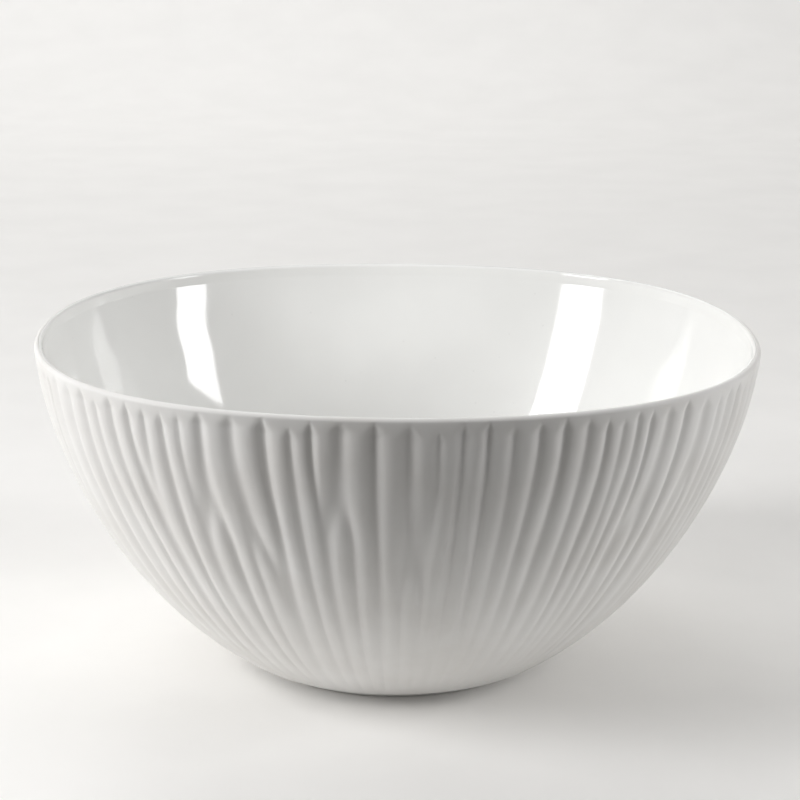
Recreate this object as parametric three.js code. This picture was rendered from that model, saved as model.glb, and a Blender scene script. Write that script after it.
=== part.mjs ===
// Porcelain serving bowl: an unglazed porcelain body with carved folds outside, a glaze
// lining inside and a glazed disc in the recess of the foot. Millimetres, +Z up, origin at
// the centre of the foot on the plane that the bowl stands on. Azimuths are in degrees,
// anticlockwise from +X, and the front of the bowl is at 270.
import * as THREE from "three";

// Overall shape.
const RIM_RADIUS = 130; // mean radius over the outside of the lip
const HEIGHT = 120; // from the standing plane to the crown of the lip
const BASE_RADIUS = 57.5; // where the wall ends and its lower edge turns under
const WALL_CURVE = 1.55; // exponent of the wall's outline: 2 gives an ellipse
const SQUARENESS = 0.021; // share by which the plan's four sides are flattened
const OVALNESS = 0.012; // share by which the plan is drawn out towards azimuth -45
const PLAN_FADE = 0.7; // power by which that departure from a circle fades downwards

// Thicknesses.
const WALL = 3.8; // body wall, over the crests of the folds
const LIP = 2.8; // across the rounded lip, with its glaze
const LIP_TAPER = 30; // length over which the wall thins towards the lip
const FLOOR = 4; // porcelain between the two glazes in the middle
const GLAZE = 0.3;
const GLAZE_CLEARANCE = 0.05; // between a glaze and the porcelain that carries it

// Foot.
const EDGE_HEIGHT = 4; // where the wall's outline ends, above the standing plane
const EDGE_ROUND = 4; // radius with which the wall turns under
const FOOT_INSET = 7.5; // from the end of the wall in to the outside of the foot ring
const FOOT_WIDTH = 4.4; // foot ring across, with its bevels
const FOOT_BEVEL = 0.6;
const RECESS_HEIGHT = 3; // ceiling of the recess inside the foot ring

// Folds.
const FOLD_DEPTH = 1.3; // crest to valley, where the folds are deepest
const FOLD_WIDTH = 3.5; // degrees across one fold
const FOLD_DROP = 4; // smooth band from the crown of the lip down to the first folds
const FOLD_RISE = 5; // length over which a fold comes up to its full height
const NECK_DROP = 9; // where the neck under the lip reaches the depth of the valleys
const FULL_DEPTH = 0.62; // share of the wall's height above which the folds are deepest
const LOW_DEPTH = 0.2; // share of the depth that is left near the lower edge

// The folds in front, one row each: azimuth at the top, azimuth half way down and, for a
// fold that starts or stops on the way, the shares of the wall's height where it does.
const FRONT_FOLDS = [
  [207, 206.5],
  [211, 210.5],
  [215.7, 216],
  [220.3, 220.2],
  [223.6, 225.6],
  [226.4, 229.2],
  [231, 231.8, 1, 0.72],
  [233, 233.5],
  [236.9, 236.6],
  [239.3, 240, 1, 0.7],
  [242.2, 240.8, 0.78],
  [243.4, 244.2],
  [246.3, 248.4, 0.72],
  [247.3, 250.4, 1, 0.5],
  [252.7, 252.9],
  [256.3, 257.2],
  [259, 260, 1, 0.7],
  [262, 260.8, 0.82],
  [263.6, 264],
  [268, 267.9],
  [272.2, 272.3, 0.65],
  [273.4, 275, 1, 0.64],
  [277, 276],
  [279.2, 278.3],
  [281.7, 281.8],
  [286, 285.3],
  [289.4, 288],
  [292.8, 291.9],
  [296.5, 295.3],
  [299.3, 298.5],
  [301.7, 300.8],
  [304.1, 302.9],
  [306.3, 305.2],
  [308.7, 307, 1, 0.62],
  [310, 309, 0.75],
  [312.8, 312.1],
  [316.4, 315.8],
  [318.7, 318.4, 0.85, 0.55],
  [320.6, 320.5],
  [323.8, 323.3],
  [327.6, 327.8],
];
// The folds behind are spaced evenly with a small regular unevenness.
const BACK_SPACING = 3.5; // degrees between folds
const BACK_UNEVENNESS = 0.7; // share of the spacing between the least and the most
const BACK_LEAN = 2.4; // degrees of lean between the least and the most

// Fineness of the meshes.
const SMOOTH_COLUMNS = 64;
const FOLD_COLUMNS = [0, 0.33, 0.67]; // corners of one fold, in shares of the way to the next
const FOLD_ROWS = [0.1, 0.22, 0.36, 0.5, 0.63, 0.74, 0.84, 0.92, 0.955];
const LINING_ROWS = 7;
const FLOOR_ROWS = 5;
const ROUND_STEPS = 3;

const { lerp, smoothstep, clamp, degToRad, radToDeg } = THREE.MathUtils;

const WALL_HEIGHT = HEIGHT - EDGE_HEIGHT;
const VIRTUAL_DEPTH = WALL_HEIGHT / (1 - (BASE_RADIUS / RIM_RADIUS) ** 2) ** (1 / WALL_CURVE);
const FOOT_RADIUS = BASE_RADIUS - FOOT_INSET; // outside of the foot ring
const FLOOR_TOP = RECESS_HEIGHT + FLOOR + 2 * (GLAZE + GLAZE_CLEARANCE);
const LIP_ROUND = LIP / 2;
const LIP_SHARE = 1 - LIP_ROUND / WALL_HEIGHT; // where the wall meets the rounded lip
const FLOOR_SHARE = 0.12; // where the lining bends into the floor
const GLAZE_START = 100; // degrees round the lip from its outside, just past the crown
const LEDGE = GLAZE_START - radToDeg(GLAZE_CLEARANCE / (LIP_ROUND - GLAZE)); // the glaze's edge butts on it

// A number from -0.5 to 0.5 that wanders evenly from one step to the next.
function wander(step, pace) {
  return ((step * pace) % 1) - 0.5;
}

function backFolds() {
  const first = FRONT_FOLDS.at(-1)[0];
  const turn = FRONT_FOLDS[0][0] + 360 - first;
  const count = Math.round(turn / BACK_SPACING);
  return Array.from({ length: count - 1 }, (_, k) => {
    const top = first + ((k + 1 + wander(k, 0.618) * BACK_UNEVENNESS) * turn) / count;
    return [top, top + wander(k, 0.755) * BACK_LEAN];
  });
}

const FOLDS = [...FRONT_FOLDS, ...backFolds()].map(([top, middle, start = 1, stop = 0]) => ({
  top,
  lean: middle - top,
  start: Math.min(start, 1 - FOLD_DROP / WALL_HEIGHT),
  stop,
}));

// Azimuth of a fold's crest, at a share of the wall's height.
function crest(fold, share) {
  return fold.top + fold.lean * smoothstep(1 - share, 0.05, 0.55);
}

// How far a fold stands up at a share of the wall's height, from 0 to 1.
function presence(fold, share) {
  const rise = FOLD_RISE / WALL_HEIGHT;
  const above = 1 - smoothstep(share, fold.start - rise, fold.start);
  const below = fold.stop > 0 ? smoothstep(share, fold.stop - 2 * rise, fold.stop + rise) : 1;
  return above * below;
}

// Depth of the valleys under the smooth wall, at a share of the wall's height.
function valleyDepth(share) {
  const neck = 1 - smoothstep(share, 1 - NECK_DROP / WALL_HEIGHT, LIP_SHARE);
  const body = lerp(LOW_DEPTH, 1, smoothstep(share, 0, FULL_DEPTH));
  const edge = smoothstep(share, 0, 0.08);
  return FOLD_DEPTH * neck * body * edge;
}

// How far the folded surface lies inside the smooth wall.
function relief(azimuth, share) {
  let height = 0;
  for (const fold of FOLDS) {
    const offset = ((azimuth - crest(fold, share) + 540) % 360) - 180;
    const away = Math.abs(offset) / (FOLD_WIDTH / 2);
    if (away < 1) {
      height += presence(fold, share) * Math.cos((away * Math.PI) / 2) ** 2;
    }
  }
  return valleyDepth(share) * (1 - Math.min(height, 1));
}

// Outline of the smooth wall: share 0 is its lower edge, share 1 the crown of the lip.
function wallPoint(share) {
  const depth = WALL_HEIGHT * (1 - share);
  const radius = RIM_RADIUS * Math.sqrt(1 - (depth / VIRTUAL_DEPTH) ** WALL_CURVE);
  return new THREE.Vector2(radius, HEIGHT - depth);
}

// Direction into the wall, at right angles to its outline.
function inward(share) {
  const step = 0.002;
  const along = wallPoint(share + step).sub(wallPoint(share - step));
  return new THREE.Vector2(-along.y, along.x).normalize();
}

function insetPoint(share, inset) {
  return wallPoint(share).addScaledVector(inward(share), inset);
}

function arc(centre, radius, from, to, steps = ROUND_STEPS) {
  return Array.from({ length: steps + 1 }, (_, k) => {
    const angle = degToRad(steps > 0 ? lerp(from, to, k / steps) : from);
    return new THREE.Vector2(radius * Math.cos(angle), radius * Math.sin(angle)).add(centre);
  });
}

// Outline round the lip between two angles, 0 outside and 180 inside, at a depth under it.
function lipOutline(from, to, depth, steps) {
  const centre = new THREE.Vector2(wallPoint(LIP_SHARE).x - LIP_ROUND, HEIGHT - LIP_ROUND);
  return arc(centre, LIP_ROUND - depth, from, to, steps);
}

// Outline of the inside from the lip to the middle of the floor, at a depth under it.
function insideOutline(depth) {
  const wall = Array.from({ length: LINING_ROWS }, (_, k) => {
    const share = lerp(LIP_SHARE, FLOOR_SHARE, (k + 1) / LINING_ROWS);
    const taper = smoothstep((LIP_SHARE - share) * WALL_HEIGHT, 0, LIP_TAPER);
    return insetPoint(share, lerp(LIP, WALL + GLAZE + GLAZE_CLEARANCE, taper) - depth);
  });
  const end = wall.at(-1);
  const down = inward(FLOOR_SHARE).rotateAround(new THREE.Vector2(), Math.PI / 2);
  const level = FLOOR_TOP - depth;
  const bend = end.clone().addScaledVector(down, (level - end.y) / down.y);
  const floor = new THREE.QuadraticBezierCurve(end, bend, new THREE.Vector2(0, level));
  return [...lipOutline(GLAZE_START, 180, depth), ...wall, ...floor.getPoints(FLOOR_ROWS).slice(1)];
}

// Outline of the underside from the middle of the recess to the wall's lower edge.
function footOutline() {
  const ceiling = RECESS_HEIGHT + GLAZE + GLAZE_CLEARANCE;
  const inside = FOOT_RADIUS - FOOT_WIDTH;
  const turn = inward(0);
  const centre = insetPoint(0, EDGE_ROUND);
  const corners = [
    [0, ceiling],
    [inside / 2, ceiling],
    [inside, ceiling],
    [inside, FOOT_BEVEL],
    [inside + FOOT_BEVEL, 0],
    [FOOT_RADIUS - FOOT_BEVEL, 0],
    [FOOT_RADIUS, FOOT_BEVEL],
    [FOOT_RADIUS, centre.y - EDGE_ROUND],
  ].map(([x, y]) => new THREE.Vector2(x, y));
  return [...corners, ...arc(centre, EDGE_ROUND, -90, radToDeg(turn.angle()) - 180)];
}

// The plan's departure from a circle is full at the rim and gone at the foot.
function corner(azimuth, radius, height) {
  const angle = degToRad(azimuth);
  const share = clamp((height - EDGE_HEIGHT) / WALL_HEIGHT, 0, 1);
  const departure = SQUARENESS * Math.cos(4 * angle) + OVALNESS * Math.sin(2 * angle);
  const reach = radius * (1 - departure * share ** PLAN_FADE);
  return { azimuth, point: [reach * Math.cos(angle), reach * Math.sin(angle), height] };
}

// A ring is a list of corners in order of azimuth, and a point on the axis is a ring of one.
function smoothRing({ x: radius, y: height }) {
  const count = radius === 0 ? 1 : SMOOTH_COLUMNS;
  return Array.from({ length: count }, (_, k) =>
    corner(FOLDS[0].top + (k * 360) / count, radius, height),
  );
}

// A ring round the folded wall has a corner on each crest and two in each valley.
function foldRing(share) {
  const { x: radius, y: height } = wallPoint(share);
  return FOLDS.flatMap((fold, k) => {
    const here = crest(fold, share);
    const gap = (crest(FOLDS[(k + 1) % FOLDS.length], share) - here + 360) % 360;
    return FOLD_COLUMNS.map((part) => {
      const azimuth = here + part * gap;
      return corner(azimuth, radius - relief(azimuth, share), height);
    });
  });
}

// Turn from the start of a ring to its k-th corner, in a measure that two rings share.
function turnTo(ring, k, other) {
  if (ring.length === other.length) {
    return k;
  }
  return k < ring.length ? ring[k].azimuth - ring[0].azimuth : 360;
}

function distance(one, other) {
  return Math.hypot(...one.point.map((value, axis) => value - other.point[axis]));
}

// Triangles between two rings, made by walking round both of them in step. Where both
// could step, the shorter diagonal is taken, so that parallel surfaces get the same one.
function joinRings(lower, upper, faces) {
  const lowerSteps = lower.length > 1 ? lower.length : 0;
  const upperSteps = upper.length > 1 ? upper.length : 0;
  let i = 0;
  let j = 0;
  while (i < lowerSteps || j < upperSteps) {
    const from = lower[i % lower.length];
    const across = upper[j % upper.length];
    const nextLower = lower[(i + 1) % lower.length];
    const nextUpper = upper[(j + 1) % upper.length];
    const ahead = turnTo(lower, i + 1, upper) - turnTo(upper, j + 1, lower);
    const shorter = distance(nextLower, across) <= distance(from, nextUpper);
    const lowerIsNext = i < lowerSteps && (ahead < 0 || (ahead === 0 && shorter));
    if (j === upperSteps || lowerIsNext) {
      faces.push(from.index, nextLower.index, across.index);
      i += 1;
    } else {
      faces.push(from.index, nextUpper.index, across.index);
      j += 1;
    }
  }
}

// One closed surface through rings that start and end on the axis, up the outside first.
function closedSurface(rings) {
  const corners = rings.flat();
  corners.forEach((one, index) => {
    one.index = index;
  });
  const faces = [];
  for (let k = 1; k < rings.length; k += 1) {
    joinRings(rings[k - 1], rings[k], faces);
  }
  const geometry = new THREE.BufferGeometry();
  const points = corners.flatMap((one) => one.point);
  geometry.setAttribute("position", new THREE.Float32BufferAttribute(points, 3));
  geometry.setIndex(faces);
  geometry.computeVertexNormals();
  return geometry;
}

function bodyGeometry() {
  const coat = GLAZE + GLAZE_CLEARANCE;
  const inside = [...lipOutline(LEDGE, LEDGE, coat, 0), ...insideOutline(coat)];
  return closedSurface([
    ...footOutline().map(smoothRing),
    ...FOLD_ROWS.map(foldRing),
    ...lipOutline(0, LEDGE, 0).map(smoothRing),
    ...inside.map(smoothRing),
  ]);
}

// The lining's hidden side faces the body, and its other side is the inside of the bowl.
function liningGeometry() {
  const hidden = insideOutline(GLAZE).reverse();
  return closedSurface([...hidden, ...insideOutline(0)].map(smoothRing));
}

function discGeometry() {
  const radius = FOOT_RADIUS - FOOT_WIDTH - GLAZE_CLEARANCE;
  const outline = [
    [0, RECESS_HEIGHT],
    [radius, RECESS_HEIGHT],
    [radius, RECESS_HEIGHT + GLAZE],
    [0, RECESS_HEIGHT + GLAZE],
  ];
  return closedSurface(outline.map(([x, y]) => smoothRing({ x, y })));
}

function piece(name, geometry, color, roughness) {
  const mesh = new THREE.Mesh(
    geometry,
    new THREE.MeshStandardMaterial({ color, roughness, metalness: 0 }),
  );
  mesh.name = name;
  return mesh;
}

const bowl = new THREE.Group();
bowl.add(piece("bowl_body", bodyGeometry(), 0xe9e7e4, 0.75));
bowl.add(piece("inner_glaze", liningGeometry(), 0xf2f1ee, 0.1));
bowl.add(piece("base_glaze", discGeometry(), 0xf0efec, 0.12));

export default bowl;
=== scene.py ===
"""A porcelain serving bowl: bare bisque with carved folds outside, clear glaze inside.

Laid out as an add-on and run as a script. Shapes are worked out in millimetres and made in
metres, +Z up, with the bowl's foot standing on the floor at the origin and its front at -Y.
Azimuths are in degrees, anticlockwise from +X.
"""

import math

import bpy
import numpy as np
from mathutils import Matrix, Quaternion, Vector


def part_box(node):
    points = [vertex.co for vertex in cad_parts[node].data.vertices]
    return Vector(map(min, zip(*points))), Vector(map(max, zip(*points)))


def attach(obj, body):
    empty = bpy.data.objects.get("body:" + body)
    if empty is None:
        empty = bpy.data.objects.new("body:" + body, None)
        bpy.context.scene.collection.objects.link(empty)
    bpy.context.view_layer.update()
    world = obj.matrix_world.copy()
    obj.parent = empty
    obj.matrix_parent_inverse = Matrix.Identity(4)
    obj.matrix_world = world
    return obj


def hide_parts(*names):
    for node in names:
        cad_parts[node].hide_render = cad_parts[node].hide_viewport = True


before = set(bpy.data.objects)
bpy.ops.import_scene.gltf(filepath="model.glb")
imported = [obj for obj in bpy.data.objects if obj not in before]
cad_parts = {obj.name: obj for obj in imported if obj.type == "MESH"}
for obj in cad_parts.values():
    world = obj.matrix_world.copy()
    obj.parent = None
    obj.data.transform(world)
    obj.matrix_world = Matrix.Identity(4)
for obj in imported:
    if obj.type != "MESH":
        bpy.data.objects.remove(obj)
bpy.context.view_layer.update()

bl_info = {
    "name": "Porcelain serving bowl",
    "version": (1, 0, 0),
    "blender": (4, 5, 0),
    "location": "3D View > Sidebar > Bowl",
    "description": "Makes a porcelain bowl with carved folds and the studio it stands in",
    "category": "Add Mesh",
}

MM = 0.001
BODY_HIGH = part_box("bowl_body")[1]
GLAZE_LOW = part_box("inner_glaze")[0]
DISC_LOW, DISC_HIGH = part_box("base_glaze")

# The folds in front, one row each: azimuth of the fold's outer flank at the top, the same half
# way down and, for a fold that starts or stops on the way, the shares of the wall's height
# where it does.
FRONT_FOLDS = [
    (207, 206.5),
    (211, 210.5),
    (215.7, 216),
    (220.3, 220.2),
    (223.6, 225.6),
    (226.4, 229.2),
    (231, 231.8, 1, 0.72),
    (233, 233.5),
    (236.9, 236.6),
    (239.3, 240, 1, 0.7),
    (242.2, 240.8, 0.78),
    (243.4, 244.2),
    (246.3, 248.4, 0.72),
    (247.3, 250.4, 1, 0.5),
    (252.7, 252.9),
    (256.3, 257.2),
    (259, 260, 1, 0.7),
    (262, 260.8, 0.82),
    (263.6, 264),
    (268, 267.9),
    (272.2, 272.3, 0.65),
    (273.4, 275, 1, 0.64),
    (277, 276),
    (279.6, 278.9),
    (281.7, 281.8),
    (286, 285.3),
    (289.4, 288),
    (292.8, 291.9),
    (296.5, 295.3),
    (299.3, 298.5),
    (301.7, 300.8),
    (304.1, 302.9),
    (306.3, 305.2),
    (308.7, 307, 1, 0.62),
    (310, 309, 0.75),
    (312.8, 312.1),
    (316.4, 315.8),
    (318.7, 318.4, 0.85, 0.55),
    (320.6, 320.5),
    (323.8, 323.3),
    (327.6, 327.8),
]
BACK_SPACING = 3.5  # degrees between the folds behind
BACK_UNEVENNESS = 0.7  # share of that spacing between the least and the most
BACK_LEAN = 2.4  # degrees between the least and the most lean of a fold
FLANK = 0.7  # degrees from a fold's outer flank to the crease beside it
LEFT_FLANKS_END = 278.5  # up to here the outer flank is on the left of its fold

FOLD_RISE = 24  # mm over which a fold that starts below the top comes up
SUNK = 1.5  # how deep it lies before that, in fold depths
SWAY, SWAY_WAVES = 0.22, 1.7  # degrees that a fold sways, and its waves from top to bottom
SOFTENING = (4, 24)  # mm under the lip between which the creases grow soft
DEPTH_BY_WIDTH = (0.5, 1.15)  # depth of the narrowest and the widest fold
LOW_DEPTH = 0.34  # share of the folds' depth that is left at the foot
TIP_ROUNDING = 0.02  # more makes a rounder edge where a crease opens

# Corners between one fold's crest and the next, close together beside the crease.
FOLD_COLUMNS = np.array([0, 0.14, 0.27, 0.38, 0.455, 0.5, 0.545, 0.62, 0.73, 0.86])
TIPS_END, LAST_RING = 17, 3.5  # mm under the lip and over the wall's lower edge
RING_GAP, WIDEST_RING_GAP = 0.8, 2.4  # mm between rings of corners down the wall
TIP_RINGS = 19  # rings down to where the gap starts to grow
COARSE = 5  # fold corners to each corner of the rings that nobody sees
GLAZE_COLUMNS = 360
INSIDE_BEND = 0.12  # share of the wall's height where the inside bends into the floor
# Degrees round the lip, counted from outside: where the bare porcelain ends, and where the
# glaze, the porcelain under it and the underside of the glaze start.
BARE_END, GLAZE_START, SEAT_START, UNDERSIDE_START = 97, 99, 100, 101

CAMERA_PLACE = (0.0016, -0.780, 0.290)  # metres
CAMERA_PITCH, CAMERA_ROLL = 75.89, 0.15  # degrees up from straight down, and on its axis
ROOM = "#f3f2f1"  # colour of the room's light
ROOM_FROM, ROOM_WHOLLY = 0.62, 1.35  # metres out, where the board starts and ends fading
BOARD_END_FADE = 0.1  # metres over which the board's far front stops giving light back
LIGHT_AIM = (0, 0, 0.1)  # metres
SOFTBOX_AWAY = 1.1  # metres from there to the two softboxes


# Sizes and colours that can be changed -------------------------------------------------


def linear(hexadecimal):
    """The linear colour of an sRGB one written as #rrggbb."""
    values = [int(hexadecimal[k : k + 2], 16) / 255 for k in (1, 3, 5)]
    return tuple(v / 12.92 if v <= 0.04045 else ((v + 0.055) / 1.055) ** 2.4 for v in values)


def length(name, description, default):
    return bpy.props.FloatProperty(
        name=name, description=description, default=default * MM, unit="LENGTH", precision=5
    )


def number(name, description, default):
    return bpy.props.FloatProperty(
        name=name, description=description, default=default, precision=3
    )


def colour(name, description, default):
    return bpy.props.FloatVectorProperty(
        name=name, description=description, default=linear(default), subtype="COLOR", size=3
    )


class BowlShape(bpy.types.PropertyGroup):
    """Sizes of the bowl; the ones that the frame knows are taken from it."""

    base_radius: length("Base radius", "Where the wall ends and turns under", 57.5)
    edge_height: length("Edge height", "Where the wall's outline ends", 4)
    edge_round: length("Edge round", "Radius with which the wall turns under", 4)
    foot_width: length("Foot width", "Foot ring across", 4.4)
    wall: length("Wall", "Thickness of the porcelain over the crests of the folds", 3.8)
    lip: length("Lip", "Thickness across the rounded lip", 2.8)
    lip_taper: length("Lip taper", "Length over which the wall thins to the lip", 30)
    glaze: length("Glaze", "Thickness of the clear glaze", 0.3)
    clearance: length("Clearance", "Gap that parts the glaze from the porcelain", 0.05)
    wall_curve: number("Wall curve", "Exponent of the outline; 2 gives an ellipse", 1.55)
    squareness: number("Squareness", "How far the plan's four sides are flattened", 0.021)
    ovalness: number("Ovalness", "How far the plan is drawn out at azimuth -45", 0.012)
    fold_depth: length("Fold depth", "Crest to crease before the crease is rounded", 1.45)
    fold_bow: number("Fold bow", "Exponent of a fold's back; 2 gives a round one", 2)
    tip_sharpness: number("Tip sharpness", "Of the creases where they begin", 3.4)
    crease_sharpness: number("Crease sharpness", "Of the creases further down", 2.2)


class BowlFinish(bpy.types.PropertyGroup):
    """Colours and gloss of the bowl's materials."""

    bisque: colour("Bisque", "Bare fired porcelain", "#f0efed")
    bisque_shade: colour("Bisque shade", "The same where it fired a little greyer", "#e8e6e3")
    bisque_roughness: number("Bisque roughness", "Of the polished bare porcelain", 0.55)
    glaze: colour("Glaze", "Porcelain seen through clear glaze", "#f8f8f6")
    glaze_pool: colour("Glaze pool", "The same where the glaze lies thicker", "#f4f4f2")
    glaze_roughness: number("Glaze roughness", "Of the fired glaze", 0.06)


class StageLook(bpy.types.PropertyGroup):
    """The studio round the bowl."""

    floor: colour("Floor", "Pale board that the bowl stands on", "#f7f6f4")
    board_front: length("Board front", "From the bowl's middle to the end of the board", 135)
    lens: bpy.props.FloatProperty(
        name="Lens", description="Focal length of the camera", default=100.85, unit="CAMERA"
    )
    left_power: number("Left softbox", "Power in watts", 9)
    right_power: number("Right softbox", "Power in watts", 4.2)
    top_power: number("Top light", "Power in watts, behind the bowl", 6)
    wall_power: number("Wall light", "Power in watts, on to the wall behind the bowl", 30)
    ambient: number("Ambient", "Strength of the light from all round", 0.26)
    room: number("Room", "How bright the far parts of the room look", 0.9)


# Meshes ----------------------------------------------------------------------------------


def smooth(value, low, high):
    share = np.clip((value - low) / (high - low), 0, 1)
    return share * share * (3 - 2 * share)


def mix(low, high, share):
    return low + (high - low) * share


def wander(step, pace):
    """A number from -0.5 to 0.5 that wanders evenly from one step to the next."""
    return (step * pace) % 1 - 0.5


def uneven(step, middle, spread, pace):
    """Values about the middle one, no more than the spread apart."""
    return middle + spread * wander(step, pace)


class Bowl:
    """The bowl's smooth outline, in millimetres. Share 0 is the wall's lower edge and share
    1 the crown of the lip."""

    def __init__(self, shape):
        for name in shape.bl_rna.properties.keys():
            value = getattr(shape, name)
            if isinstance(value, float):
                unit = shape.bl_rna.properties[name].unit
                setattr(self, name, value / MM if unit == "LENGTH" else value)
        self.height = BODY_HIGH.z / MM
        self.wall_height = self.height - self.edge_height
        self.lip_round = self.lip / 2
        self.lip_share = 1 - self.lip_round / self.wall_height
        self.recess = DISC_LOW.z / MM
        self.foot_inside = DISC_HIGH.x / MM + self.clearance
        self.foot_radius = self.foot_inside + self.foot_width
        self.floor_top = GLAZE_LOW.z / MM + self.glaze
        self.rim_radius = self.fit_rim()
        taper = 1 - (self.base_radius / self.rim_radius) ** 2
        self.virtual_depth = self.wall_height / taper ** (1 / self.wall_curve)

    def fit_rim(self):
        """The mean rim radius whose plan just fits the frame's box."""
        azimuth = np.arange(0, 360, 0.1)
        around = np.radians(azimuth)
        reach = 1 - self.departure(around)
        wide = BODY_HIGH.x / MM / np.max(reach * np.cos(around))
        deep = BODY_HIGH.y / MM / np.max(reach * np.sin(around))
        return min(wide, deep)

    def departure(self, around):
        """The plan's departure from a circle, as a share of the radius."""
        return self.squareness * np.cos(4 * around) + self.ovalness * np.sin(2 * around)

    def wall_point(self, share):
        """Radius and height of the outline."""
        depth = self.wall_height * (1 - share)
        narrowing = (depth / self.virtual_depth) ** self.wall_curve
        radius = self.rim_radius * math.sqrt(1 - narrowing)
        return np.array([radius, self.height - depth])

    def inward(self, share):
        """The way square to the outline, into the porcelain."""
        along = self.wall_point(min(share + 0.002, 1)) - self.wall_point(share - 0.002)
        across = np.array([-along[1], along[0]])
        return across / np.hypot(*across)

    def inset(self, share, depth):
        return self.wall_point(share) + self.inward(share) * depth

    def round_lip(self, angle, depth):
        """A point round the lip, 0 outside and 180 inside, at a depth under it."""
        centre_radius = self.wall_point(self.lip_share)[0] - self.lip_round
        turn = math.radians(angle)
        reach = self.lip_round - depth
        return np.array(
            [
                centre_radius + reach * math.cos(turn),
                self.height - self.lip_round + reach * math.sin(turn),
            ]
        )

    def inside(self, depth, lip_steps, wall_steps, floor_steps, start):
        """Outline of the inside from the lip to the middle of the floor."""
        points = [
            self.round_lip(mix(start, 180, k / lip_steps), depth) for k in range(lip_steps + 1)
        ]
        for k in range(1, wall_steps + 1):
            share = mix(self.lip_share, INSIDE_BEND, k / wall_steps)
            drop = (self.lip_share - share) * self.wall_height
            full = self.wall + self.glaze + self.clearance
            thick = mix(self.lip, full, smooth(drop, 0, self.lip_taper))
            points.append(self.inset(share, thick - depth))
        end = points[-1]
        across = self.inward(INSIDE_BEND)
        down = np.array([-across[1], across[0]])
        level = self.floor_top - depth
        bend = end + down * (level - end[1]) / down[1]
        middle = np.array([0, level])
        for k in range(1, floor_steps + 1):
            t = k / floor_steps
            points.append((1 - t) ** 2 * end + 2 * t * (1 - t) * bend + t * t * middle)
        points[-1] = middle
        return points

    def corners(self, azimuth, radius, height):
        """Points round the bowl; the plan's departure from a circle fades to the foot."""
        around = np.radians(azimuth)
        share = max(0.0, min(1.0, (height - self.edge_height) / self.wall_height))
        reach = radius * (1 - self.departure(around) * share**0.7)
        level = np.full_like(around, height)
        return np.stack([reach * np.cos(around), reach * np.sin(around), level], axis=1)


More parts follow.
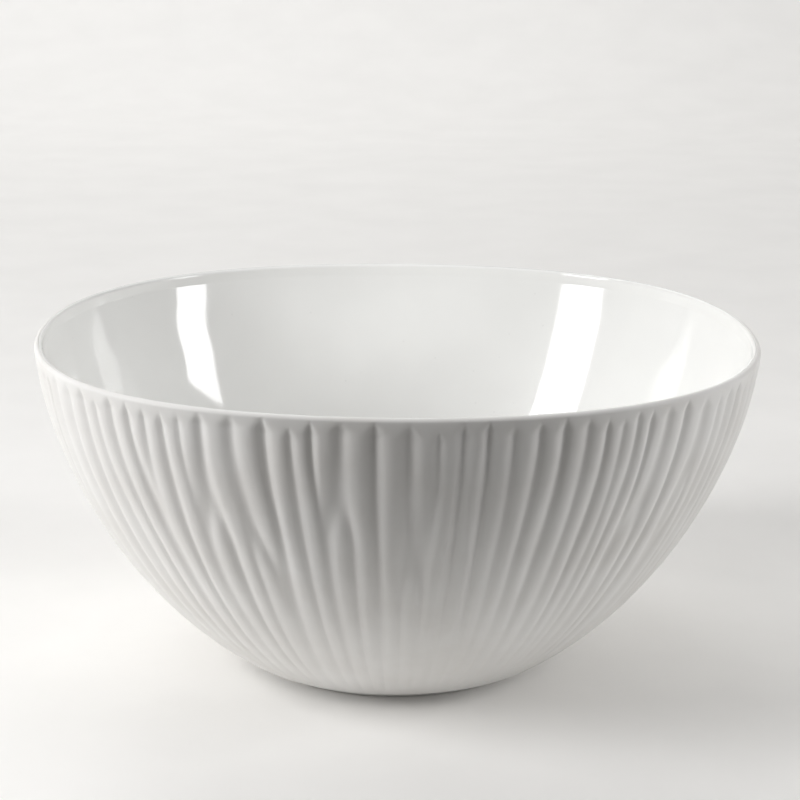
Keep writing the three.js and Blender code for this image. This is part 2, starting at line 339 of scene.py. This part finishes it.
class Folds:
    """The carved folds: round backs that meet in rounded creases, each crease opening out
    of the smooth neck under the lip in a point."""

    def __init__(self, bowl):
        self.bowl = bowl
        first = FRONT_FOLDS[-1][0]
        turn = FRONT_FOLDS[0][0] + 360 - first
        count = round(turn / BACK_SPACING)
        behind = []
        for k in range(count):
            top = first + (k + 1 + wander(k, 0.618) * BACK_UNEVENNESS) * turn / count
            behind.append((top, top + wander(k, 0.755) * BACK_LEAN))
        # A fold runs from share 1 down to share 0 where its row doesn't say otherwise.
        rows = [(*row, *(1, 0)[len(row) - 2 :]) for row in FRONT_FOLDS + behind]
        top, middle, start, stop = np.array(rows, float).T
        # The last row on the left and the first on the right are two flanks of one fold.
        kept = np.argmax(top > LEFT_FLANKS_END) != np.arange(len(rows))
        self.start, self.stop = start[kept], stop[kept]
        self.top = self.crests_of(top)[kept]
        self.lean = self.crests_of(middle)[kept] - self.top
        self.index = np.arange(len(self.top))
        # A fold's strength, how far under the neck its crease starts and opens, in
        # millimetres, and where the crease lies between two crests.
        self.strength = uneven(self.index, 0.92, 0.4, 0.382)
        self.tip = uneven(self.index, 0.3, 1.2, 0.273)
        self.opening = uneven(self.index, 6.5, 3, 0.567)
        self.crease = uneven(self.index, 0.5, 0.12, 0.845)
        # Over a fold that starts further down there is one crease, with one tip.
        for values in (self.tip, self.opening):
            values[:] = np.where(self.start < 1, np.roll(values, 1), values)

    def crests_of(self, flanks):
        """The crests of folds whose rows give the flank that is turned outward."""
        inward = (np.roll(flanks, -1) - flanks) % 360 / 2 - FLANK
        outward = (flanks - np.roll(flanks, 1)) % 360 / 2 - FLANK
        return flanks + np.where(flanks < LEFT_FLANKS_END, inward, -outward)

    def crests(self, share):
        """Azimuths of the crests at a share of the wall's height."""
        bend = smooth(1 - share, 0.05, 0.55)
        sway = SWAY * np.sin(2 * math.pi * (SWAY_WAVES * share + wander(self.index, 0.432)))
        return self.top + self.lean * bend + sway * smooth(1 - share, 0, 0.2)

    def presence(self, share):
        """How far each fold has come up there: 0 not at all, 1 wholly."""
        rise = FOLD_RISE / self.bowl.wall_height
        begun = 1 - smooth(share, self.start - rise, self.start)
        begun = np.where(self.start < 1, begun, 1)
        ended = np.where(self.stop > 0, smooth(share, self.stop - rise, self.stop + rise), 1)
        return begun * ended

    def ring(self, share):
        """Azimuths of the corners round the wall and how far each lies under the crests."""
        bowl = self.bowl
        crest = self.crests(share)
        there = self.presence(share)
        gap = (np.roll(crest, -1) - crest) % 360
        gap_after = gap + (1 - np.roll(there, -1)) * np.roll(gap, -1)
        gap_before = np.roll(gap, 1) + (1 - np.roll(there, 1)) * np.roll(gap, 2)
        crease = self.crease[:, None]
        before_crease = FOLD_COLUMNS * 2 * crease
        after_crease = 1 - (1 - FOLD_COLUMNS) * 2 * (1 - crease)
        spread = np.where(FOLD_COLUMNS < 0.5, before_crease, after_crease)
        azimuth = crest[:, None] + spread * gap[:, None]

        def reach_of(width, strength):
            depth = strength * np.clip((width / BACK_SPACING) ** 0.5, *DEPTH_BY_WIDTH)
            return width / 2 / depth ** (1 / bowl.fold_bow)

        reach_after = reach_of(gap_after, self.strength)
        reach_before = reach_of(gap_before, np.roll(self.strength, 1))
        together = np.zeros_like(azimuth)
        drop = (1 - share) * bowl.wall_height
        sharpness = mix(bowl.tip_sharpness, bowl.crease_sharpness, smooth(drop, *SOFTENING))
        for step in (-1, 0, 1, 2):
            centre = np.roll(crest, -step)[:, None]
            offset = (azimuth - centre + 540) % 360 - 180
            after = np.roll(reach_after, -step)[:, None]
            before = np.roll(reach_before, -step)[:, None]
            side = np.where(offset > 0, after, before)
            sunk = SUNK * (1 - np.roll(there, -step))[:, None]
            back = (np.abs(offset) / side) ** bowl.fold_bow
            together += np.exp(-sharpness * (back + sunk))
        # The higher of two backs counts, with the crease between them a little rounded.
        under = -np.log(together) / sharpness
        closed = 1 - smooth(drop, self.tip, self.tip + self.opening)[:, None]
        carved = under - closed
        carved = (carved + np.sqrt(carved**2 + TIP_ROUNDING)) / 2
        return azimuth.ravel(), carved.ravel() * self.depth(share)

    def depth(self, share):
        """Depth of a fold there, in millimetres, which runs out at the lower edge."""
        body = mix(LOW_DEPTH, 1, smooth(share, 0, 0.6))
        return self.bowl.fold_depth * body * smooth(share, 0, 0.05)


def run(first, size, k, count):
    """The corners of a ring along the k-th of its count equal stretches."""
    if size == 1:
        return [first]
    return [first + (k * size // count + j) % size for j in range(size // count + 1)]


def join_rings(rings):
    """Vertices and faces of a closed surface through rings, each a whole number of times
    as fine as its neighbour; a ring of one corner lies on the axis."""
    starts = np.cumsum([0] + [len(ring) for ring in rings])
    faces = []
    for lower, upper, a, b in zip(rings[:-1], rings[1:], starts[:-1], starts[1:]):
        n, m = len(lower), len(upper)
        count = min(n, m) if min(n, m) > 1 else max(n, m)
        for k in range(count):
            faces.append([*run(a, n, k, count), *reversed(run(b, m, k, count))])
    return np.concatenate(rings) * MM, faces


def new_piece(name, vertices, faces, material, node):
    mesh = bpy.data.meshes.new(name)
    mesh.from_pydata(vertices.tolist(), [], [[int(v) for v in face] for face in faces])
    mesh.validate()
    mesh.shade_smooth()
    mesh.materials.append(material)
    piece = bpy.data.objects.new(name, mesh)
    bpy.context.scene.collection.objects.link(piece)
    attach(piece, "root")
    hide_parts(node)
    return piece


def body_rings(bowl, folds):
    # The rings lie close together where the creases begin and wider apart further down.
    drops = [*np.arange(bowl.lip_round, TIPS_END, RING_GAP)]
    while drops[-1] < bowl.wall_height - LAST_RING:
        wider = RING_GAP * (1 + 0.1 * (len(drops) - TIP_RINGS))
        drops.append(drops[-1] + min(wider, WIDEST_RING_GAP))
    shares = [1 - drop / bowl.wall_height for drop in drops]
    edge_azimuth, _ = folds.ring(0)
    coarse = edge_azimuth[::COARSE]

    def level(points, azimuth):
        return [
            bowl.corners(azimuth, r, z) if r > 0 else np.array([[0.0, 0.0, z]])
            for r, z in points
        ]

    # Underside: recess, foot ring with rounded edges, and the turn up into the wall.
    ceiling = bowl.recess + bowl.glaze + bowl.clearance
    inside, outside = bowl.foot_inside, bowl.foot_radius
    soft = 0.9  # radius of the ring's edges
    centre = bowl.inset(0, bowl.edge_round)
    across = bowl.inward(0)
    wall_angle = math.degrees(math.atan2(-across[1], -across[0]))
    foot = [(0, ceiling), (inside * 0.5, ceiling), (inside, ceiling), (inside, soft)]
    for start in (180, 270):
        middle = inside + soft if start == 180 else outside - soft
        for k in range(5):
            angle = math.radians(start + 22.5 * k)
            foot.append((middle + soft * math.cos(angle), soft + soft * math.sin(angle)))
    foot.append((outside, centre[1] - bowl.edge_round))
    turn = [
        (
            centre[0] + bowl.edge_round * math.cos(math.radians(angle)),
            centre[1] + bowl.edge_round * math.sin(math.radians(angle)),
        )
        for angle in np.linspace(-90, wall_angle, 9)
    ]
    rings = level(foot, coarse) + level(turn[:3], coarse) + level(turn[3:], edge_azimuth)

    for share in reversed(shares):
        azimuth, carved = folds.ring(share)
        radius, height = bowl.wall_point(share)
        rings.append(bowl.corners(azimuth, radius - carved, height))
    top_azimuth, _ = folds.ring(shares[0])
    for angle in (12, 24, 36, 48, 60, 72, 84, BARE_END):
        point = bowl.round_lip(angle, 0)
        rings.append(bowl.corners(top_azimuth, *point))
    coat = bowl.glaze + bowl.clearance
    hidden = [bowl.round_lip(BARE_END, coat), *bowl.inside(coat, 3, 7, 5, SEAT_START)]
    rings += level(hidden, top_azimuth[::COARSE])
    return rings


def glaze_rings(bowl):
    azimuth = np.arange(GLAZE_COLUMNS) * 360 / GLAZE_COLUMNS
    hidden = bowl.inside(bowl.glaze, 3, 7, 5, UNDERSIDE_START)[::-1]
    shown = bowl.inside(0, 8, 56, 22, GLAZE_START)
    rings = []
    for radius, height in [*hidden, *shown]:
        ring = bowl.corners(azimuth, radius, height)
        rings.append(ring if radius > 0 else ring[:1])
    return rings


def disc_rings(bowl):
    """The coat creeps a little down the foot ring, in a meniscus. Sizes in millimetres."""
    reach = DISC_HIGH.x / MM
    azimuth = np.arange(120) * 3.0
    low, high = bowl.recess, bowl.recess + bowl.glaze
    flat = low + 0.1
    outline = [(reach * k / 12, flat) for k in range(12)]
    outline += [(reach - 1, low + 0.08), (reach - 0.4, low + 0.03), (reach, low), (reach, high)]
    outline += [(reach * 0.5, high), (0, high)]
    rings = []
    for radius, height in outline:
        ring = bowl.corners(azimuth, radius, height)
        rings.append(ring if radius > 0 else ring[:1])
    return rings


# Materials -------------------------------------------------------------------------------


def new_material(name):
    material = bpy.data.materials.new(name)
    material.use_nodes = True
    nodes = material.node_tree.nodes
    nodes.clear()
    output = add_node(material, "ShaderNodeOutputMaterial")
    return material, output


def add_node(material, kind, settings=None, **inputs):
    """Adds a node. Settings are its own properties. Each input is a value or the socket
    that feeds it, named as on the node with _ for a space, or numbered as in_0."""
    node = material.node_tree.nodes.new(kind)
    for name, value in (settings or {}).items():
        setattr(node, name, value)
    for name, value in inputs.items():
        key = int(name[3:]) if name.startswith("in_") else name.replace("_", " ")
        if isinstance(value, bpy.types.NodeSocket):
            material.node_tree.links.new(value, node.inputs[key])
        else:
            node.inputs[key].default_value = value
    return node


def opaque(rgb):
    return (*rgb, 1.0)


def blended(material, share, low, high):
    node = add_node(material, "ShaderNodeMix", {"data_type": "RGBA"}, in_0=share)
    for socket, value in ((node.inputs[6], low), (node.inputs[7], high)):
        if isinstance(value, bpy.types.NodeSocket):
            material.node_tree.links.new(value, socket)
        else:
            socket.default_value = value
    return node.outputs[2]


def noise(material, place, size_mm, detail=2.0, rough=0.5):
    """Noise whose patches are about size_mm across."""
    node = add_node(
        material,
        "ShaderNodeTexNoise",
        Vector=place,
        Scale=1 / (size_mm * MM),
        Detail=detail,
        Roughness=rough,
    )
    return node.outputs["Fac"]


def ranged(material, value, low, high, to_low, to_high):
    node = add_node(
        material,
        "ShaderNodeMapRange",
        Value=value,
        From_Min=low,
        From_Max=high,
        To_Min=to_low,
        To_Max=to_high,
    )
    return node.outputs["Result"]


def bisque_porcelain(finish):
    """Bisque porcelain, slip cast and fired unglazed: a white, nearly dull, very fine
    skin, a touch greyer in patches, with a faint satin where hands have polished it."""
    material, output = new_material("bisque porcelain, slip cast and fired bare")
    place = add_node(material, "ShaderNodeTexCoord").outputs["Object"]
    # Patches of the firing about 30 mm across, and a faint mottling of about 4 mm.
    patches = ranged(material, noise(material, place, 30, 3), 0.35, 0.65, 0, 1)
    mottle = ranged(material, noise(material, place, 4, 4, 0.6), 0.3, 0.7, 0, 1)
    tone = blended(material, patches, opaque(finish.bisque), opaque(finish.bisque_shade))
    darker = tuple(v * 0.975 for v in finish.bisque)
    skin = blended(
        material, ranged(material, mottle, 0, 1, 0, 0.35), tone, opaque(darker)
    )
    # The grain of bisque is about 0.02 mm; it is drawn at 0.35 mm, or it wouldn't show.
    grain = noise(material, place, 0.35, 3, 0.7)
    ripple = noise(material, place, 6, 2)
    soft = add_node(
        material, "ShaderNodeBump", Strength=0.25, Distance=0.00008, Height=ripple
    )
    bump = add_node(
        material,
        "ShaderNodeBump",
        Strength=0.35,
        Distance=0.00003,
        Height=grain,
        Normal=soft.outputs["Normal"],
    )
    rough = ranged(
        material,
        mottle,
        0,
        1,
        finish.bisque_roughness - 0.05,
        finish.bisque_roughness + 0.08,
    )
    shader = add_node(
        material,
        "ShaderNodeBsdfPrincipled",
        Base_Color=skin,
        Roughness=rough,
        IOR=1.5,
        Normal=bump.outputs["Normal"],
    )
    material.node_tree.links.new(shader.outputs["BSDF"], output.inputs["Surface"])
    return material


def clear_glaze(finish, name="clear glaze on porcelain, fired glossy"):
    """Clear glaze, poured and fired to glass: mirror-like highlights over white, a touch
    greyer where it has pooled, with few pale specks and the faintest slow ripple."""
    material, output = new_material(name)
    place = add_node(material, "ShaderNodeTexCoord").outputs["Object"]
    pooling = ranged(material, noise(material, place, 45, 2), 0.35, 0.65, 0, 1)
    tone = blended(material, pooling, opaque(finish.glaze), opaque(finish.glaze_pool))
    # Specks of ash about 0.6 mm across, few and very pale.
    specks = add_node(
        material,
        "ShaderNodeTexVoronoi",
        {"feature": "F1"},
        Vector=place,
        Scale=1 / (9 * MM),
        Randomness=1.0,
    ).outputs["Distance"]
    dots = ranged(material, specks, 0.03, 0.06, 0.35, 0)
    speck = tuple(v * 0.82 for v in finish.glaze)
    skin = blended(material, dots, tone, opaque(speck))
    # Glaze lies in waves about 14 mm long, with a much finer skin of about 1.2 mm.
    waves = noise(material, place, 14, 1)
    soft = add_node(
        material, "ShaderNodeBump", Strength=0.12, Distance=0.00012, Height=waves
    )
    peel = noise(material, place, 1.2, 1)
    bump = add_node(
        material,
        "ShaderNodeBump",
        Strength=0.06,
        Distance=0.00002,
        Height=peel,
        Normal=soft.outputs["Normal"],
    )
    rough = ranged(
        material,
        pooling,
        0,
        1,
        finish.glaze_roughness,
        finish.glaze_roughness + 0.02,
    )
    shader = add_node(
        material,
        "ShaderNodeBsdfPrincipled",
        Base_Color=skin,
        Roughness=rough,
        IOR=1.52,
        Normal=bump.outputs["Normal"],
    )
    material.node_tree.links.new(shader.outputs["BSDF"], output.inputs["Surface"])
    return material


def matt_board(name, look):
    """Board painted matt white: even, soft, with a barely seen mottling. In front of
    board_front it gives the bowl almost no light back, as if the board ended there and the
    room were dark, though the camera still sees it white. Far out, the camera sees it run
    out into an even pale room. Both are tricks of the stage, by the kind of ray."""
    material, output = new_material(name)
    place = add_node(material, "ShaderNodeTexCoord").outputs["Object"]
    mottle = ranged(material, noise(material, place, 60, 3), 0.3, 0.7, 0, 1)
    darker = tuple(v * 0.97 for v in look.floor)
    skin = blended(material, mottle, opaque(look.floor), opaque(darker))
    board = add_node(
        material, "ShaderNodeBsdfPrincipled", Base_Color=skin, Roughness=0.7, IOR=1.45
    )
    room = add_node(material, "ShaderNodeBsdfDiffuse", Color=opaque(linear("#3a3936")))
    sides, forward, _ = add_node(material, "ShaderNodeSeparateXYZ", Vector=place).outputs
    gone = -look.board_front - BOARD_END_FADE
    ended = ranged(material, forward, gone, -look.board_front, 1, 0)
    seen = add_node(material, "ShaderNodeLightPath").outputs["Is Camera Ray"]
    bounced = add_node(
        material, "ShaderNodeMath", {"operation": "SUBTRACT"}, in_0=1, in_1=seen
    )
    dark = add_node(
        material,
        "ShaderNodeMath",
        {"operation": "MULTIPLY"},
        in_0=ended,
        in_1=bounced.outputs[0],
    )
    floor = add_node(
        material,
        "ShaderNodeMixShader",
        in_0=dark.outputs[0],
        in_1=board.outputs[0],
        in_2=room.outputs[0],
    )
    # How far to the side or the front, whichever is more.
    aside = add_node(material, "ShaderNodeMath", {"operation": "ABSOLUTE"}, in_0=sides)
    front = add_node(
        material, "ShaderNodeMath", {"operation": "MULTIPLY"}, in_0=forward, in_1=-1
    )
    far = add_node(
        material,
        "ShaderNodeMath",
        {"operation": "MAXIMUM"},
        in_0=aside.outputs[0],
        in_1=front.outputs[0],
    )
    haze = add_node(
        material,
        "ShaderNodeMath",
        {"operation": "MULTIPLY"},
        in_0=ranged(material, far.outputs[0], ROOM_FROM, ROOM_WHOLLY, 0, 1),
        in_1=seen,
    )
    glow = add_node(
        material, "ShaderNodeEmission", Color=opaque(linear(ROOM)), Strength=look.room
    )
    shader = add_node(
        material,
        "ShaderNodeMixShader",
        in_0=haze.outputs[0],
        in_1=floor.outputs[0],
        in_2=glow.outputs[0],
    )
    material.node_tree.links.new(shader.outputs["Shader"], output.inputs["Surface"])
    return material


# Stage -----------------------------------------------------------------------------------


def add_sweep(look):
    """Floor that curves up into the wall behind the bowl."""
    front, back, side, bend, top = -3.0, 2.4, 3.2, 0.9, 3.2
    steps = 16
    outline = [(front, 0.0), (-1.0, 0.0), (0.0, 0.0), (1.0, 0.0)]
    for k in range(steps + 1):
        angle = math.radians(90 * k / steps)
        outline.append((back - bend + bend * math.sin(angle), bend - bend * math.cos(angle)))
    outline.append((back, top))
    vertices = [(x, y, z) for y, z in outline for x in (-side, side)]
    faces = [(2 * k, 2 * k + 1, 2 * k + 3, 2 * k + 2) for k in range(len(outline) - 1)]
    mesh = bpy.data.meshes.new("sweep")
    mesh.from_pydata(vertices, [], faces)
    mesh.shade_smooth()
    mesh.materials.append(matt_board("matt white board", look))
    sweep = bpy.data.objects.new("sweep", mesh)
    bpy.context.scene.collection.objects.link(sweep)


def add_softbox(name, place, target, width, height, power, roll=0):
    """A rectangular light; lengths in metres, its roll in degrees."""
    light = bpy.data.lights.new(name, "AREA")
    light.shape = "RECTANGLE"
    light.size = width
    light.size_y = height
    light.energy = power
    lamp = bpy.data.objects.new(name, light)
    lamp.location = place
    turn = (Vector(target) - Vector(place)).to_track_quat("-Z", "Y")
    lamp.rotation_euler = (turn @ Quaternion((0, 0, 1), math.radians(roll))).to_euler()
    lamp.visible_camera = False
    bpy.context.scene.collection.objects.link(lamp)


def polar(azimuth, elevation, distance, centre):
    """A place seen from the centre at an azimuth and an elevation in degrees."""
    a, e = math.radians(azimuth), math.radians(elevation)
    way = Vector((math.cos(a) * math.cos(e), math.sin(a) * math.cos(e), math.sin(e)))
    return Vector(centre) + way * distance


def add_camera(look):
    camera = bpy.data.cameras.new("camera")
    camera.lens = look.lens
    camera.sensor_width = 36
    eye = bpy.data.objects.new("camera", camera)
    pitch, roll = math.radians(CAMERA_PITCH), math.radians(CAMERA_ROLL)
    turn = Matrix.Rotation(pitch, 4, "X") @ Matrix.Rotation(roll, 4, "Z")
    eye.matrix_world = Matrix.Translation(CAMERA_PLACE) @ turn
    bpy.context.scene.collection.objects.link(eye)
    bpy.context.scene.camera = eye


def add_world(look):
    """Even light from all round; the camera sees it as the brighter, pale room."""
    world = bpy.data.worlds.new("studio")
    world.use_nodes = True
    seen = add_node(world, "ShaderNodeLightPath").outputs["Is Camera Ray"]
    strength = ranged(world, seen, 0, 1, look.ambient, look.room)
    background = world.node_tree.nodes["Background"]
    background.inputs["Color"].default_value = opaque(linear(ROOM))
    world.node_tree.links.new(strength, background.inputs["Strength"])
    bpy.context.scene.world = world


# Operators -------------------------------------------------------------------------------


class MakeBody(bpy.types.Operator):
    """Makes the bisque body with its carved folds, rounded lip and foot ring"""

    bl_idname = "bowl.make_body"
    bl_label = "Body"

    def execute(self, context):
        bowl = Bowl(context.scene.bowl_shape)
        vertices, faces = join_rings(body_rings(bowl, Folds(bowl)))
        material = bisque_porcelain(context.scene.bowl_finish)
        new_piece("bisque_body", vertices, faces, material, "bowl_body")
        return {"FINISHED"}


class MakeInnerGlaze(bpy.types.Operator):
    """Makes the clear glaze that lines the bowl up to the crown of the lip"""

    bl_idname = "bowl.make_inner_glaze"
    bl_label = "Inner glaze"

    def execute(self, context):
        bowl = Bowl(context.scene.bowl_shape)
        vertices, faces = join_rings(glaze_rings(bowl))
        material = clear_glaze(context.scene.bowl_finish)
        new_piece("glaze_lining", vertices, faces, material, "inner_glaze")
        return {"FINISHED"}


class MakeBaseGlaze(bpy.types.Operator):
    """Makes the glaze in the recess of the foot"""

    bl_idname = "bowl.make_base_glaze"
    bl_label = "Base glaze"

    def execute(self, context):
        bowl = Bowl(context.scene.bowl_shape)
        vertices, faces = join_rings(disc_rings(bowl))
        material = clear_glaze(context.scene.bowl_finish, "clear glaze in the foot recess")
        new_piece("glaze_disc", vertices, faces, material, "base_glaze")
        return {"FINISHED"}


class MakeStage(bpy.types.Operator):
    """Makes the camera, the lights and the pale board that the bowl stands on"""

    bl_idname = "bowl.make_stage"
    bl_label = "Stage"

    def execute(self, context):
        look = context.scene.bowl_stage
        add_camera(look)
        add_sweep(look)
        left = polar(-160.5, 28.5, SOFTBOX_AWAY, LIGHT_AIM)
        right = polar(-13.1, 22.2, SOFTBOX_AWAY, LIGHT_AIM)
        add_softbox("left softbox", left, LIGHT_AIM, 0.39, 0.63, look.left_power, 18.2)
        add_softbox("right softbox", right, LIGHT_AIM, 0.27, 0.46, look.right_power, -36.4)
        add_softbox("top light", (-0.3, 2.0, 2.2), (-0.3, 2.0, 0), 2.4, 1.0, look.top_power)
        add_softbox("wall light", (-0.6, 1.2, 2.4), (-0.6, 2.4, 1.2), 1.6, 0.4, look.wall_power)
        add_world(look)
        context.scene.view_settings.view_transform = "Standard"
        return {"FINISHED"}


class BowlPanel(bpy.types.Panel):
    """Lists the bowl's sizes, finishes and stage with the operators that make them"""

    bl_idname = "VIEW3D_PT_bowl"
    bl_label = "Porcelain serving bowl"
    bl_space_type = "VIEW_3D"
    bl_region_type = "UI"
    bl_category = "Bowl"

    def draw(self, context):
        layout = self.layout
        scene = context.scene
        for group in (scene.bowl_shape, scene.bowl_finish, scene.bowl_stage):
            box = layout.box()
            for name in group.__annotations__:
                box.prop(group, name)
        for operator in OPERATORS:
            layout.operator(operator.bl_idname)


GROUPS = {"bowl_shape": BowlShape, "bowl_finish": BowlFinish, "bowl_stage": StageLook}
OPERATORS = (MakeBody, MakeInnerGlaze, MakeBaseGlaze, MakeStage)


def register():
    for name, group in GROUPS.items():
        bpy.utils.register_class(group)
        setattr(bpy.types.Scene, name, bpy.props.PointerProperty(type=group))
    for entry in (*OPERATORS, BowlPanel):
        bpy.utils.register_class(entry)


def unregister():
    for entry in reversed((*OPERATORS, BowlPanel)):
        bpy.utils.unregister_class(entry)
    for name, group in reversed(GROUPS.items()):
        delattr(bpy.types.Scene, name)
        bpy.utils.unregister_class(group)


def main():
    register()
    bpy.ops.bowl.make_stage()
    bpy.ops.bowl.make_body()
    bpy.ops.bowl.make_inner_glaze()
    bpy.ops.bowl.make_base_glaze()


if __name__ == "__main__":
    main()
